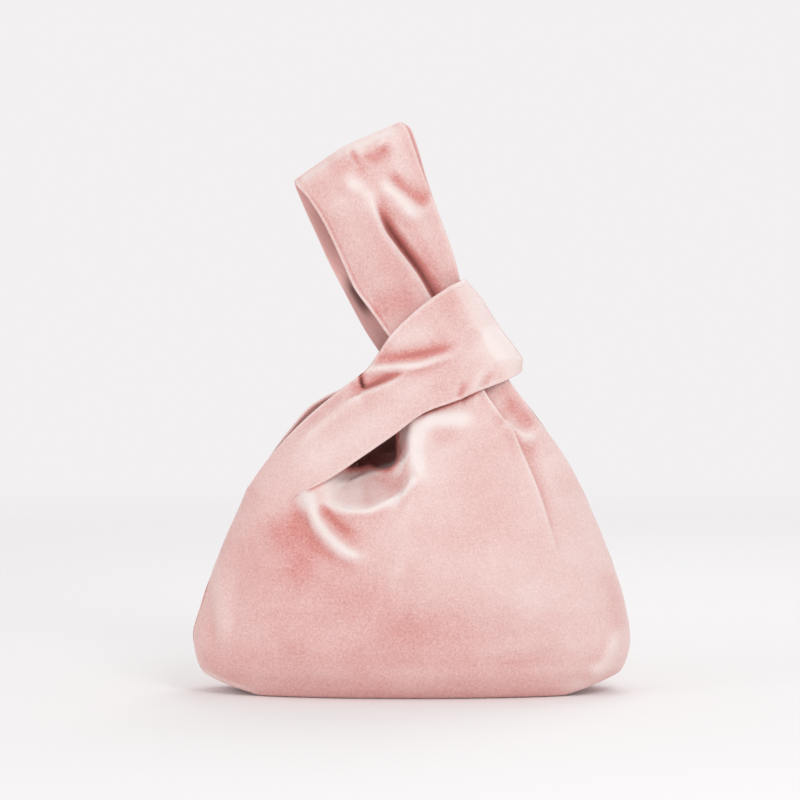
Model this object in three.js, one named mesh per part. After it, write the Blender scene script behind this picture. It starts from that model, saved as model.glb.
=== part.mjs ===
// A knotted wrist bag in velvet, standing on its base: a lined pouch with two handles.
// The short handle's loop lies across the front, folds round the long handle and comes back behind,
// and the long handle stands up out of that knot.
// Millimetres. +Z is up, +X is to the right of the bag's front, and the front faces -Y.
// The origin is the middle of the base, on the surface that the bag stands on.
import * as THREE from "three";

const degrees = THREE.MathUtils.degToRad;

// Overall sizes
const bodyWidth = 260;
const bodyDepth = 120;
const bagHeight = 337.2; // with the long handle up

// The edges below are those of a bag 260 wide, 120 deep and 337.2 high. They follow the sizes above.
const wide = (x) => (x / 260) * bodyWidth;
const deep = (y) => (y / 120) * bodyDepth;
const tall = (z) => (z / 337.2) * bagHeight;
const edge = ([x, z]) => [wide(x), tall(z)];

// Cloth
const velvet = 1.2; // outer cloth with its pile
const lining = 0.5; // satin lining
const plyGap = 0.3; // between one layer of cloth and the next
const seamGap = 1.2; // between two panels where they are sewn together
const thread = 0.6; // diameter of the sewing thread
const clearance = 0.4; // between the parts of the bag that slide on each other
const wall = velvet + plyGap + lining; // velvet and lining together

// The long handle inside the knot, the panels round it there and the short handle round both.
// These are half depths, of the outer face of each.
const neckDepth = 6.4;
const rootDepth = neckDepth + clearance + wall;
const knotDepth = rootDepth + clearance + wall + 3 * plyGap;

// The pouch. Each row is a height, how far the silhouette reaches left and right, and half the depth there.
const pouch = [
  { z: 0, left: -115, right: 118, depth: 42 },
  { z: 8, left: -121.5, right: 122, depth: 49 },
  { z: 18, left: -127, right: 127.5, depth: 55 },
  { z: 32, left: -130, right: 130, depth: 59 },
  { z: 50, left: -126, right: 127.5, depth: 60 },
  { z: 75, left: -117, right: 120.5, depth: 56 },
  { z: 100, left: -104.6, right: 110, depth: 47.5 },
  { z: 125, left: -92.5, right: 98, depth: 37 },
  { z: 145, left: -79, right: 86, depth: 27.5 },
  { z: 165, left: -59.5, right: 72, depth: 18.8 },
  { z: 182, left: -38.5, right: 59, depth: 12.4 },
].map(({ z, left, right, depth }) => ({
  z: tall(z),
  left: wide(left),
  right: wide(right),
  depth: deep(depth),
}));
// Above those rows it closes round the long handle.
pouch.push(
  { z: tall(194), left: wide(-25), right: wide(51), depth: rootDepth + plyGap },
  { z: tall(212), left: wide(-18), right: wide(42), depth: rootDepth + plyGap },
);
const roundness = 2.2; // of the pouch's cross-sections: 2 is an ellipse, more is boxier
const baseFlat = wide(88); // half the length of the base that touches the ground
const baseEnd = wide(120); // where the base's ends have risen in full
const cornerLift = 9; // how far they rise
const baseInset = 2.6; // from the base's rim to the lining's

// The mouth between the two handles. Places along it are shares of a panel's width, from its left seam.
const mouthLeft = 0.25;
const mouthFloorEnd = 0.45;
const mouthRight = 0.5;
// Where the slack rim falls inwards
const rimDent = { x: wide(-25), halfWidth: wide(26), halfHeight: tall(24) };
// The front's rim hangs open, and the back's is drawn up under the short handle.
const frontRim = { z: tall(131), dent: deep(12) };
const backRim = { z: tall(147), dent: deep(4) };
const rootTop = tall(206); // top of the panels inside the knot
const slitFrom = tall(140); // the right side is open from here up
const slitFull = tall(188); // and from here up as wide as the handle

// The short handle turns about this point when it is slid up the long one.
const shoulder = { x: wide(-80), z: tall(145), radius: wide(30), gap: 0.6 };

// The short handle's front strap, from the shoulder to its fold round the long handle. Each row has the
// strap's lower edge, its upper edge, how far the lower edge stands off the pouch, half the depth of
// the upper edge if it isn't the knot's, and how far the middle crowns.
const shortHandle = [
  { low: [-48.4, 128.4], high: [-80, 143.5], off: 0.8, highDepth: 3.6, crown: 5 },
  { low: [-31.8, 139.6], high: [-61, 163.5], off: 1.6, highDepth: 4.2, crown: 3.6 },
  { low: [-12, 153], high: [-43, 179.3], off: 3.6, highDepth: 6.5, crown: 3.8 },
  { low: [7.8, 166.8], high: [-26.5, 190.5], off: 5, highDepth: 10.4, crown: 3.6 },
  { low: [25, 173.2], high: [-12, 211], off: 3.2, crown: 1.2 },
  { low: [40.3, 179.6], high: [7, 229], off: 3.2, crown: 1 },
  { low: [54, 184.6], high: [25, 241.5], off: 3.2, crown: 0.8 },
].map(({ low, high, off, highDepth, crown }) => ({
  low: edge(low),
  high: edge(high),
  off: deep(off),
  highDepth: highDepth ? deep(highDepth) : knotDepth,
  crown: deep(crown),
}));
const fold = { low: edge([66, 190]), high: edge([35.4, 245]) }; // the outermost line of the fold

// The long handle folds over along this line, just above the knot.
const crease = {
  x: wide(0.5),
  z: tall(244.8),
  slope: degrees(37.5),
  halfWidth: wide(30),
  mostTurn: degrees(100),
};
const creaseDepth = plyGap / 2 + velvet; // half the thickness of the handle there
// The long handle below the crease and above it: its left edge, its right edge and half its depth
const neck = [
  { left: [3, 186], right: [47, 188], depth: neckDepth },
  { left: [-6.5, 200], right: [40.5, 206], depth: neckDepth },
  { left: [-14.5, 212], right: [32.6, 225], depth: neckDepth * 0.86 },
  { left: [-19, 219], right: [27, 243], depth: neckDepth * 0.56 },
].map(({ left, right, depth }) => ({ left: edge(left), right: edge(right), depth }));
const loop = [
  { left: [-30.5, 236], right: [20.8, 272], depth: 2.6 },
  { left: [-37.5, 250], right: [16.4, 284], depth: 6.6 },
  { left: [-45.4, 266.2], right: [10.5, 298], depth: 12 },
  { left: [-54, 282.2], right: [5.2, 312], depth: 12.6 },
  { left: [-61.5, 292.8], right: [1.2, 325], depth: 9 },
  { left: [-66.8, 298.8], right: [-2.6, 334], depth: 4.6 },
  { left: [-68.8, 301.6], right: [-4, 337.2], depth: 0.6 },
].map(({ left, right, depth }) => ({ left: edge(left), right: edge(right), depth: deep(depth) }));
const backSpread = wide(5.5); // how much further left the back strap's left edge bellies out

// How finely each cloth is divided
const panelSteps = { across: 20, up: 9 };
const strapSteps = { along: 12, across: 6, round: 4 };
const neckSteps = { along: 5, across: 5 };
const loopSteps = { along: 11, across: 6 };
const baseSteps = 4;
const threadSides = 6;
const linedRows = 3; // of the loop, that the crease leaves no room to line

const dustyPink = new THREE.MeshStandardMaterial({ color: 0xe2aaa8, roughness: 0.85, metalness: 0 });
const satinPink = new THREE.MeshStandardMaterial({ color: 0xd99d99, roughness: 0.5, metalness: 0 });
const threadPink = new THREE.MeshStandardMaterial({ color: 0xd79a98, roughness: 0.7, metalness: 0 });

const V = (x, y, z) => new THREE.Vector3(x, y, z);
const mix = THREE.MathUtils.lerp;
const share01 = (t) => THREE.MathUtils.clamp(t, 0, 1);
const ease = (t) => THREE.MathUtils.smoothstep(t, 0, 1);

// A smooth curve through values at knots, that never overshoots them.
function through(knots, values) {
  const last = knots.length - 1;
  const rise = knots.slice(0, last).map((k, i) => (values[i + 1] - values[i]) / (knots[i + 1] - k));
  const slope = knots.map((_, i) => {
    if (i === 0) return rise[0];
    if (i === last) return rise[last - 1];
    return rise[i - 1] * rise[i] <= 0 ? 0 : (2 * rise[i - 1] * rise[i]) / (rise[i - 1] + rise[i]);
  });
  return (t) => {
    let i = 0;
    while (i < last - 1 && t > knots[i + 1]) i++;
    const width = knots[i + 1] - knots[i];
    const s = share01((t - knots[i]) / width);
    return (
      (1 + 2 * s) * (1 - s) ** 2 * values[i] +
      s * (1 - s) ** 2 * width * slope[i] +
      s * s * (3 - 2 * s) * values[i + 1] +
      s * s * (s - 1) * width * slope[i + 1]
    );
  };
}

// A smooth curve through points in space, read from 0 to 1.
function throughPoints(points) {
  const knots = points.map((_, i) => i / (points.length - 1));
  const x = through(knots, points.map((p) => p.x));
  const y = through(knots, points.map((p) => p.y));
  const z = through(knots, points.map((p) => p.z));
  return (t) => V(x(t), y(t), z(t));
}

// A grid of points, rows by columns, from a function of two shares.
const grid = (rows, columns, point) =>
  Array.from({ length: rows + 1 }, (_, i) =>
    Array.from({ length: columns + 1 }, (_, j) => point(i / rows, j / columns)),
  );

const heights = pouch.map((row) => row.z);
const pouchLeft = through(heights, pouch.map((row) => row.left));
const pouchRight = through(heights, pouch.map((row) => row.right));
const pouchDepth = through(heights, pouch.map((row) => row.depth));

// How far the base has curled up, this far along it
const baseRise = (x) => cornerLift * share01((Math.abs(x) - baseFlat) / (baseEnd - baseFlat)) ** 1.6;

// Half the gap between the panels at their right edge, where it opens into a slit
const slitAt = (z) => mix(seamGap / 2, pouchDepth(z) - plyGap, ease((z - slitFrom) / (slitFull - slitFrom)));

// Half the depth of the pouch at a share of its width
function bulge(share, z) {
  const edge = share < 0.5 ? seamGap / 2 : slitAt(z);
  return edge + (pouchDepth(z) - edge) * Math.sqrt(share01(4 * share * (1 - share))) ** (2 / roundness);
}

const bulgeAt = (x, z) => bulge(share01((x - pouchLeft(z)) / (pouchRight(z) - pouchLeft(z))), z);

const dentAt = (x, z, rim) =>
  rim.dent *
  Math.exp(-(((x - rimDent.x) / rimDent.halfWidth) ** 2) - ((z - rim.z) / rimDent.halfHeight) ** 2);

// A point of a panel, drawn on the front: u goes round it from the left seam to the right one.
function panelPoint(u, z, rim = frontRim) {
  const share = (1 - Math.cos(Math.PI * u)) / 2;
  const x = mix(pouchLeft(z), pouchRight(z), share);
  return V(x, Math.min(-seamGap / 2, dentAt(x, z, rim) - bulge(share, z)), z);
}

// The height of the panel's top edge: the shoulder's arc, the mouth's rim, then the root of the handle
function panelTop(u, rim) {
  if (u <= mouthLeft) {
    let z = shoulder.z - shoulder.radius;
    for (let i = 0; i < 12; i++) {
      z = shoulder.z - Math.sqrt(shoulder.radius ** 2 - (panelPoint(u, z).x - shoulder.x) ** 2);
    }
    return z;
  }
  if (u <= mouthFloorEnd) {
    return mix(panelTop(mouthLeft), rim.z, ease((u - mouthLeft) / (mouthFloorEnd - mouthLeft)));
  }
  return mix(rim.z, rootTop, share01((u - mouthFloorEnd) / (mouthRight - mouthFloorEnd)));
}

// The panel's bottom edge is a seam's width above the base's rim.
const panelBottom = (u) => baseRise(panelPoint(u, 0).x) + velvet + seamGap;

// Sets a point at a distance from the shoulder's turning point, seen from the front.
function toShoulder(p, distance) {
  const reach = V(p.x - shoulder.x, 0, p.z - shoulder.z).setLength(distance);
  return V(shoulder.x + reach.x, p.y, shoulder.z + reach.z);
}

// Keeps a front layer clear of the back one.
const inFront = (p, halfGap) => V(p.x, Math.min(p.y, -halfGap), p.z);

// A cloth is its outer face, a grid that faces the way that its columns cross its rows,
// and a rule that sets right each point of its layers.
function cloth(face, fit) {
  const lastRow = face.length - 1;
  const lastColumn = face[0].length - 1;
  const facing = face.map((row, i) =>
    row.map((_, j) => {
      const up = face[Math.min(i + 1, lastRow)][j].clone().sub(face[Math.max(i - 1, 0)][j]);
      const right = row[Math.min(j + 1, lastColumn)].clone().sub(row[Math.max(j - 1, 0)]);
      return right.cross(up).normalize();
    }),
  );
  const under = (depth) =>
    face.map((row, i) =>
      row.map((p, j) => fit(p.clone().addScaledVector(facing[i][j], -depth), { row: i, column: j, depth })),
    );
  return { face, under };
}

// A closed sheet between an outer grid and an inner one.
function sheet(outer, inner) {
  const rows = outer.length;
  const columns = outer[0].length;
  const top = rows - 1;
  const end = columns - 1;
  const at = (side, i, j) => (side * rows + i) * columns + j;
  const index = [];
  const quad = (a, b, c, d) => index.push(a, b, c, a, c, d);
  for (let i = 0; i < top; i++) {
    for (let j = 0; j < end; j++) {
      quad(at(0, i, j), at(0, i, j + 1), at(0, i + 1, j + 1), at(0, i + 1, j));
      quad(at(1, i, j), at(1, i + 1, j), at(1, i + 1, j + 1), at(1, i, j + 1));
    }
    quad(at(0, i, 0), at(0, i + 1, 0), at(1, i + 1, 0), at(1, i, 0));
    quad(at(0, i, end), at(1, i, end), at(1, i + 1, end), at(0, i + 1, end));
  }
  for (let j = 0; j < end; j++) {
    quad(at(0, 0, j), at(1, 0, j), at(1, 0, j + 1), at(0, 0, j + 1));
    quad(at(0, top, j), at(0, top, j + 1), at(1, top, j + 1), at(1, top, j));
  }
  return solid([...outer.flat(), ...inner.flat()], index);
}

function solid(points, index) {
  const geometry = new THREE.BufferGeometry();
  const position = new Float32Array(points.flatMap((p) => p.toArray()));
  geometry.setAttribute("position", new THREE.BufferAttribute(position, 3));
  geometry.setIndex(index);
  geometry.computeVertexNormals();
  return geometry;
}

// The same geometry on the back of the bag
function behind(geometry) {
  const position = geometry.getAttribute("position");
  const points = Array.from({ length: position.count }, (_, i) =>
    V(position.getX(i), -position.getY(i), position.getZ(i)),
  );
  return solid(points, Array.from(geometry.index.array).reverse());
}

// A thread through points, round or with two flat ends. Its section is set square by a side direction.
function threadThrough(points, side, closed) {
  const count = points.length;
  const rings = points.map((p, i) => {
    const next = points[closed ? (i + 1) % count : Math.min(i + 1, count - 1)];
    const before = points[closed ? (i + count - 1) % count : Math.max(i - 1, 0)];
    const tangent = next.clone().sub(before).normalize();
    const across = tangent.clone().cross(side).normalize();
    const up = across.clone().cross(tangent);
    return Array.from({ length: threadSides }, (_, k) => {
      const angle = (2 * Math.PI * k) / threadSides;
      const spoke = up.clone().multiplyScalar(Math.cos(angle)).addScaledVector(across, Math.sin(angle));
      return p.clone().addScaledVector(spoke, thread / 2);
    });
  });
  const index = [];
  const at = (i, k) => (i % count) * threadSides + (k % threadSides);
  for (let i = 0; i < (closed ? count : count - 1); i++) {
    for (let k = 0; k < threadSides; k++) {
      index.push(at(i, k), at(i, k + 1), at(i + 1, k + 1), at(i, k), at(i + 1, k + 1), at(i + 1, k));
    }
  }
  for (let k = 1; !closed && k + 1 < threadSides; k++) {
    index.push(at(0, 0), at(0, k + 1), at(0, k));
    index.push(at(count - 1, 0), at(count - 1, k), at(count - 1, k + 1));
  }
  return solid(rings.flat(), index);
}

const bag = new THREE.Group();

function add(name, geometry, material) {
  const mesh = new THREE.Mesh(geometry, material.clone());
  mesh.name = name;
  bag.add(mesh);
}

// A cloth's velvet, and its lining between two rows
function addLayers(velvetName, liningName, { under }, backwards, from, to) {
  const turned = backwards ? behind : (geometry) => geometry;
  add(velvetName, turned(sheet(under(0), under(velvet))), dustyPink);
  const lined = (depth) => under(depth).slice(from, to);
  add(liningName, turned(sheet(lined(velvet + plyGap), lined(wall))), satinPink);
}

// The pouch's front and back panels, with their linings
function panelCloth(rim) {
  const { up, across } = panelSteps;
  const face = grid(up, across, (v, u) => panelPoint(u, mix(panelBottom(u), panelTop(u, rim), v), rim));
  return cloth(face, (p, { row, column }) => {
    const onArc = row === up && column / across <= mouthLeft;
    return inFront(onArc ? toShoulder(p, shoulder.radius + shoulder.gap / 2) : p, seamGap / 2);
  });
}
const frontPanel = panelCloth(frontRim);
addLayers("outer_front", "lining_front", frontPanel, false);
addLayers("outer_back", "lining_back", panelCloth(backRim), true);

// The base, and its lining a little inside its rim
function baseGrid(inset, up) {
  return grid(baseSteps, panelSteps.across, (v, u) => {
    const rim = panelPoint(u, panelBottom(u));
    const halfDepth = Math.max(-rim.y - inset, seamGap / 3);
    const z = panelBottom(u) - velvet - seamGap + up;
    return V(rim.x * (1 - inset / baseEnd), halfDepth * (1 - 2 * v), z);
  });
}
add("outer_base", sheet(baseGrid(0, 0), baseGrid(0, velvet)), dustyPink);
add("lining_base", sheet(baseGrid(baseInset, velvet + plyGap), baseGrid(baseInset, wall)), satinPink);

// The short handle: its rows start on the shoulder's arc and end in the fold.
function shortHandleFace() {
  const across = Array.from({ length: strapSteps.across + 1 }, (_, j) => j / strapSteps.across);
  const lines = across.map((w) => {
    const u = w * mouthLeft;
    const start = toShoulder(panelPoint(u, panelTop(u, frontRim)), shoulder.radius - shoulder.gap / 2);
    const rows = shortHandle.map(({ low, high, off, highDepth, crown }) => {
      const lowDepth = bulgeAt(...low) + off;
      const depth = mix(highDepth, lowDepth, w) + crown * 4 * w * (1 - w);
      return V(mix(high[0], low[0], w), -depth, mix(high[1], low[1], w));
    });
    return throughPoints([start, ...rows]);
  });
  const flat = Array.from({ length: strapSteps.along + 1 }, (_, i) =>
    lines.map((line) => line(i / strapSteps.along)),
  );
  const end = flat[strapSteps.along];
  const round = Array.from({ length: strapSteps.round }, (_, i) => {
    const angle = ((i + 1) / strapSteps.round) * (Math.PI / 2);
    return end.map((p, j) => {
      const x = mix(fold.high[0], fold.low[0], across[j]);
      const z = mix(fold.high[1], fold.low[1], across[j]);
      return V(mix(p.x, x, Math.sin(angle)), p.y * Math.cos(angle), mix(p.z, z, Math.sin(angle)));
    });
  });
  return [...flat, ...round].map((row) => row.map((p) => inFront(p, seamGap / 2)));
}
const strap = cloth(shortHandleFace(), (p, { row }) =>
  inFront(row === 0 ? toShoulder(p, shoulder.radius - shoulder.gap / 2) : p, seamGap / 2),
);
addLayers("short_handle_front", "short_handle_lining_front", strap, false);
addLayers("short_handle_back", "short_handle_lining_back", strap, true);

// A point of the crease, measured along it and square to it
function creasePoint(alongIt, above, depth) {
  return V(
    crease.x + alongIt * Math.cos(crease.slope) - above * Math.sin(crease.slope),
    -depth,
    crease.z + alongIt * Math.sin(crease.slope) + above * Math.cos(crease.slope),
  );
}

// The handle's outer and inner faces end at the crease in a bevel, so that it can fold flat both ways.
const bevel = 1 / Math.tan((Math.PI - crease.mostTurn) / 2);
const creaseSlack = 0.1;
function atCrease(columns, side) {
  const places = Array.from({ length: columns + 1 }, (_, j) => mix(-1, 1, j / columns) * crease.halfWidth);
  return places.map((x) => creasePoint(x, side * (creaseDepth * bevel + creaseSlack), creaseDepth));
}

const ruled = (rows, columns) =>
  rows.map(({ left, right, depth }) =>
    Array.from({ length: columns + 1 }, (_, j) =>
      V(mix(left[0], right[0], j / columns), -depth, mix(left[1], right[1], j / columns)),
    ),
  );

function resampled(rows, steps) {
  const lines = rows[0].map((_, j) => throughPoints(rows.map((row) => row[j])));
  return Array.from({ length: steps + 1 }, (_, i) => lines.map((line) => line(i / steps)));
}

// The long handle's foot, that stands in the knot
const neckFace = resampled(
  [...ruled(neck, neckSteps.across), atCrease(neckSteps.across, -1)],
  neckSteps.along,
);
const neckCloth = cloth(neckFace, (p, { row, column, depth }) => {
  if (row < neckSteps.along || depth === 0) return inFront(p, plyGap / 2);
  const x = mix(-1, 1, column / neckSteps.across) * crease.halfWidth;
  return creasePoint(x, -plyGap, plyGap / 2);
});
addLayers("long_handle_foot_front", "long_handle_foot_lining_front", neckCloth, false, 0, neckSteps.along);
addLayers("long_handle_foot_back", "long_handle_foot_lining_back", neckCloth, true, 0, neckSteps.along);

// The long handle's loop, above the crease. The back strap bellies out further to the left.
function loopCloth(spread) {
  const rows = ruled(loop, loopSteps.across).map((row, i) =>
    row.map((p, j) => {
      const belly = Math.sin((Math.PI * (i + 1)) / loop.length) * (1 - j / loopSteps.across);
      return V(p.x - spread * belly, p.y, p.z - spread * belly * 0.45);
    }),
  );
  const face = resampled([atCrease(loopSteps.across, 1), ...rows], loopSteps.along);
  return cloth(face, (p, { row, column, depth }) => {
    if (row > 0 || depth === 0) return inFront(p, row === loopSteps.along ? seamGap / 2 : plyGap / 2);
    const x = mix(-1, 1, column / loopSteps.across) * crease.halfWidth;
    return creasePoint(x, plyGap, plyGap / 2);
  });
}
addLayers("long_handle_front", "long_handle_lining_front", loopCloth(0), false, linedRows);
addLayers("long_handle_back", "long_handle_lining_back", loopCloth(backSpread), true, linedRows);

// Seams: the thread lies in the middle of the velvet's thickness.
const panelMiddle = frontPanel.under(velvet / 2);
const between = (p) => V(p.x, 0, p.z);
const leftSeam = panelMiddle.slice(0, panelSteps.up).map((row) => between(row[0]));
const rightSeam = panelMiddle.map((row) => between(row[panelSteps.across])).filter((p) => p.z < slitFrom);
add("side_seam_left", threadThrough(leftSeam, V(0, 1, 0), false), threadPink);
add("side_seam_right", threadThrough(rightSeam, V(0, 1, 0), false), threadPink);
const hem = panelMiddle[0].map((p, j) => V(p.x, p.y, panelBottom(j / panelSteps.across) - seamGap / 2));
const hemBehind = hem.map((p) => V(p.x, -p.y, p.z)).reverse();
add("base_seam", threadThrough([...hem, ...hemBehind], V(0, 0, 1), true), threadPink);
const foldSeam = strap.under(velvet / 2).at(-1).map(between);
add("short_handle_seam", threadThrough(foldSeam, V(0, 1, 0), false), threadPink);
const topSeam = loopCloth(0).under(velvet / 2).at(-1).map(between);
add("long_handle_seam", threadThrough(topSeam, V(0, 1, 0), false), threadPink);

export default bag;
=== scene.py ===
import math

import bpy
import numpy as np
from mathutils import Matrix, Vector, noise


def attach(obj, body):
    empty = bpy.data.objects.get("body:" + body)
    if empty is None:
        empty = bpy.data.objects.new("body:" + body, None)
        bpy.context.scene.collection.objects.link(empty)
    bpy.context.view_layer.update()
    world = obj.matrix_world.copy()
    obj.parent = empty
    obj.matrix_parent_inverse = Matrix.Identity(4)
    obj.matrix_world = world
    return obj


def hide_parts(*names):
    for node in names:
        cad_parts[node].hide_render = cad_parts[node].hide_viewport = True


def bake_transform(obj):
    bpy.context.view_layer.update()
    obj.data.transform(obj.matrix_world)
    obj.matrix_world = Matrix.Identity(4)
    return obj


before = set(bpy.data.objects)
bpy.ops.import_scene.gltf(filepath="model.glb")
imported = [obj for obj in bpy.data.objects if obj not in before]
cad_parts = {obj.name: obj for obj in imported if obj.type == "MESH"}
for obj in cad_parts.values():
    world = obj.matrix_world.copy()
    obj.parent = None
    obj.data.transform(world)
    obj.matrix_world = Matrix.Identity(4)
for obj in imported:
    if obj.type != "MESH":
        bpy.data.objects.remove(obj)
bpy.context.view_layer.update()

mm = 0.001  # shapes are drawn in millimetres: X right, Z up, the front towards -Y

# Numbers


def ease(t, low=0.0, high=1.0):
    # a soft step from 0 at low to 1 at high
    t = np.clip((np.asarray(t, float) - low) / (high - low), 0, 1)
    return t * t * (3 - 2 * t)


def mix(a, b, t):
    return a + (b - a) * t


# Camera

view = {
    "elevation": 3,  # degrees above the table
    "distance": 2600,
    "pictureWidth": 473.3,  # what the picture takes in where the bag stands
    "aim": (-7, 0, 172.4),
}


def addCamera():
    elevation = math.radians(view["elevation"])
    away = Vector((0, -math.cos(elevation), math.sin(elevation)))
    place = (Vector(view["aim"]) + away * view["distance"]) * mm
    bpy.ops.object.camera_add(location=place, rotation=(math.pi / 2 - elevation, 0, 0))
    camera = bpy.context.object
    camera.name = "camera"
    camera.data.lens = camera.data.sensor_width * view["distance"] / view["pictureWidth"]
    camera.data.clip_end = 20
    bpy.context.scene.camera = camera


addCamera()

# Shader sockets


class Shade:
    # a shader socket that Python can reckon with
    def __init__(self, tree, socket=None):
        self.tree, self.socket = tree, socket

    def feed(self, node, values):
        # a Shade is linked to its socket, any other value is written into it
        for name, value in values.items():
            if isinstance(value, Shade):
                self.tree.links.new(value.socket, node.inputs[name])
            else:
                node.inputs[name].default_value = value

    def node(self, kind, inputs=(), output=0, **settings):
        made = self.tree.nodes.new(kind)
        for name, value in settings.items():
            setattr(made, name, value)
        self.feed(made, dict(inputs))
        return Shade(self.tree, made.outputs[output])

    def sum(self, operation, first, second):
        return self.node("ShaderNodeMath", {0: first, 1: second}, operation=operation)

    def __add__(self, other):
        return self.sum("ADD", self, other)

    __radd__ = __add__

    def __sub__(self, other):
        return self.sum("SUBTRACT", self, other)

    def __rsub__(self, other):
        return self.sum("SUBTRACT", other, self)

    def __mul__(self, other):
        return self.sum("MULTIPLY", self, other)

    __rmul__ = __mul__

    def clamped(self):
        return self.node("ShaderNodeClamp", {"Value": self})

    def mixed(self, first, second):
        return self.node("ShaderNodeMix", {0: self, 6: first, 7: second}, 2, data_type="RGBA")


def newMaterial(name):
    material = bpy.data.materials.new(name)
    material.use_nodes = True
    tree = material.node_tree
    return material, Shade(tree), tree.nodes["Principled BSDF"]


# Light, floor and backdrop

studio = {
    "worldStrength": 0.72,
    "lamps": {
        "keyLamp": {"watts": 4.9, "size": 0.6, "place": (0.5, -1.15, 1.05)},
        "leftLamp": {"watts": 2.1, "size": 0.9, "place": (-1.15, -0.85, 0.6)},
        "backLamp": {"watts": 4, "size": 0.9, "place": (0.3, 0.9, 1.2)},
    },
    "lampsLookAt": (0, 0, 0.15),
    "backdrop": (0.89, 0.871, 0.879, 1),  # what the camera sees beyond the floor
    "paper": {"Base Color": (0.93, 0.915, 0.92, 1), "Roughness": 0.8, "Specular IOR Level": 0.1},
    "floorRadius": 1.9,
    "floorFades": (0.45, 1.8),
    "floorRings": 40,
    "floorSpokes": 96,
}


def lightWorld():
    world = bpy.data.worlds.new("studioAir")
    bpy.context.scene.world = world
    world.use_nodes = True
    air = Shade(world.node_tree)
    kinds = ("Camera", "Glossy", "Transmission")
    camera, glossy, clear = (air.node("ShaderNodeLightPath", output=f"Is {kind} Ray") for kind in kinds)
    seen = (camera + glossy + clear).clamped()
    level = studio["worldStrength"]
    sky = world.node_tree.nodes["Background"]
    air.feed(sky, {"Color": seen.mixed((level, level, level, 1), studio["backdrop"])})


def addLamps():
    for name, lamp in studio["lamps"].items():
        aim = Vector(studio["lampsLookAt"]) - Vector(lamp["place"])
        bpy.ops.object.light_add(type="AREA", location=lamp["place"])
        light = bpy.context.object
        light.name = name
        light.data.shape = "DISK"
        light.data.size = lamp["size"]
        light.data.energy = lamp["watts"]
        light.rotation_euler = aim.to_track_quat("-Z", "Y").to_euler()


def addFloor():
    # a round sheet of paper that fades into the backdrop
    rings = np.linspace(0, studio["floorRadius"], studio["floorRings"])[1:]
    spokes = studio["floorSpokes"]
    turns = np.arange(spokes) * 2 * math.pi / spokes
    verts = [(0, 0, 0)] + [(r * math.cos(a), r * math.sin(a), 0) for r in rings for a in turns]
    faces = [(0, 1 + k, 1 + (k + 1) % spokes) for k in range(spokes)]
    for i in range(len(rings) - 1):
        near, far = 1 + i * spokes, 1 + (i + 1) * spokes
        for k in range(spokes):
            after = (k + 1) % spokes
            faces.append((near + k, far + k, far + after, near + after))
    mesh = bpy.data.meshes.new("paperFloor")
    mesh.from_pydata(verts, [], faces)
    cover = 1 - ease(np.hypot(*np.array(verts).T[:2]), *studio["floorFades"])
    mesh.attributes.new("cover", "FLOAT", "POINT").data.foreach_set("value", cover.astype(np.float32))
    floor = bpy.data.objects.new("paperFloor", mesh)
    bpy.context.collection.objects.link(floor)
    paper, surface, finish = newMaterial("studioPaper")
    cover = surface.node("ShaderNodeAttribute", output=2, attribute_name="cover")
    surface.feed(finish, {**studio["paper"], "Alpha": cover})
    mesh.materials.append(paper)


lightWorld()
addLamps()
addFloor()
bpy.context.scene.view_settings.view_transform = "Standard"
print("camera, lamps and floor are set up")

# Materials

velvetLook = {
    # the pile's two looks, which also serve as the shaded and the lit colour of painted light
    "brushedDownAndShaded": (0.74, 0.275, 0.248, 1),
    "brushedUpAndLit": (0.955, 0.84, 0.81, 1),
    # painted shade: the colour that stands in for the dark of the mouth, of deep folds and between the straps
    "paintedShade": (0.09, 0.012, 0.009, 1),
    "cloud": {"Scale": 26, "Detail": 4, "Roughness": 0.6},
    "brush": {"Scale": 140, "Detail": 3, "Roughness": 0.65},
    "pile": {"Scale": 800, "Detail": 3, "Roughness": 0.75},
    "patches": 0.22,
    "brushMarks": 0.14,
    "grainless": 1.15,  # brushed up this far, the pile would show no grain
    "speckle": 0.72,
    "glints": 0.6,
    "grainInPaintedShade": 0.3,
    "grainHeight": 2,
    "brushHeight": 0.6,
    "bump": {"Strength": 0.55, "Distance": 0.0004},
    "finish": {
        "Roughness": 0.5,
        "Specular IOR Level": 0.35,
        "Sheen Weight": 0.35,
        "Sheen Roughness": 0.4,
        "Sheen Tint": (1, 0.9, 0.87, 1),
    },
}
satinLook = {
    "dark": (0.85, 0.42, 0.39, 1),
    "light": (0.93, 0.585, 0.55, 1),
    "cloud": {"Scale": 30, "Detail": 3},
    "weave": {"Scale": 130, "Distortion": 1.5, "Detail": 1},
    "weaveShare": 0.2,
    "bump": {"Strength": 0.15, "Distance": 0.0001},
    "finish": {"Roughness": 0.42},
}
threadLook = {
    "dark": (0.72, 0.4, 0.37, 1),
    "light": (0.86, 0.58, 0.55, 1),
    "plies": {"Scale": 45, "Distortion": 0.6},
    "bump": {"Strength": 0.5, "Distance": 0.0002},
    "finish": {"Roughness": 0.6},
}


def cloudsOf(surface, place, look):
    return surface.node("ShaderNodeTexNoise", {"Vector": place, **look})


def bandsOf(surface, place, look):
    sockets = {"Vector": place, **look}
    return surface.node("ShaderNodeTexWave", sockets, 1, wave_type="BANDS", bands_direction="DIAGONAL")


def finished(material, surface, finish, look, color, height):
    bump = surface.node("ShaderNodeBump", {"Height": height, **look["bump"]})
    surface.feed(finish, {"Base Color": color, "Normal": bump, **look["finish"]})
    return material


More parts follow.
